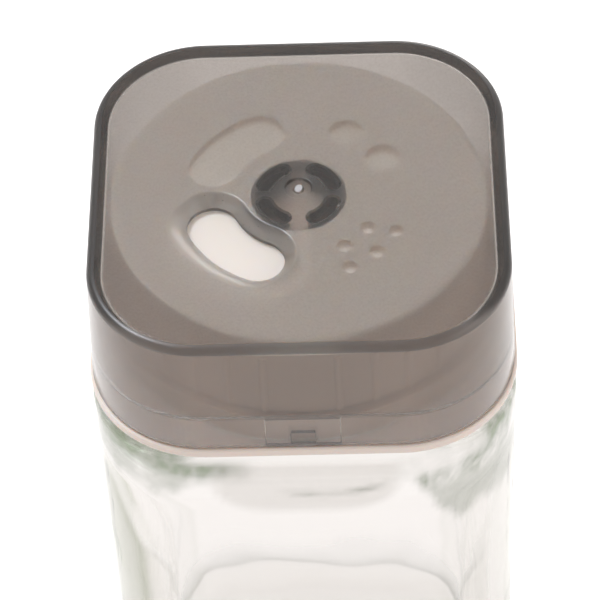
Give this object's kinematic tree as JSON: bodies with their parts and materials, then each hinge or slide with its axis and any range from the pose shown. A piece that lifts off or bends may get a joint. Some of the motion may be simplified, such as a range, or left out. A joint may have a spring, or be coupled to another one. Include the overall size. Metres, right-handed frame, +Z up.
{
  "type": "seasoning bottle",
  "caption": "Square thick-glass seasoning bottle with a screw-on shaker cap and a turning smoke-grey selector cap that opens a spoon, medium or fine outlet or closes it.",
  "frame": {"origin": "middle of the base, on the table", "axes": "+Z up along the bottle, the pictured side faces -Y"},
  "size_m": [0.054, 0.054, 0.118],
  "materials": {
    "glass": "clear pressed glass with a faint green tint",
    "seal": "matte translucent silicone",
    "cream_plastic": "satin moulded polypropylene",
    "smoke_plastic": "frosted translucent smoke-grey styrene"
  },
  "bodies": {
    "bottle": {"glass_bottle": "glass"},
    "seal": {"seal_ring": "seal"},
    "shaker_cap": {"inner_cap": "cream_plastic"},
    "selector": {"outer_cap": "smoke_plastic"}
  },
  "joints": [
    {"name": "cap_lift", "type": "slide", "parent": "bottle", "child": "seal", "axis": [0, 0, 1], "range_m": [0, 0.0053]},
    {"name": "cap_unscrew", "type": "hinge", "parent": "seal", "child": "shaker_cap", "pos_m": [0, 0, 0.1139], "axis": [0, 0, 1], "range_deg": [0, 450]},
    {"name": "selector_turn", "type": "hinge", "parent": "shaker_cap", "child": "selector", "pos_m": [0, 0, 0.1148], "axis": [0, 0, 1], "continuous": true}
  ],
  "couplings": [
    {"joint": "cap_lift", "follows": "cap_unscrew", "m_per_rad": 0.00067373}
  ]
}
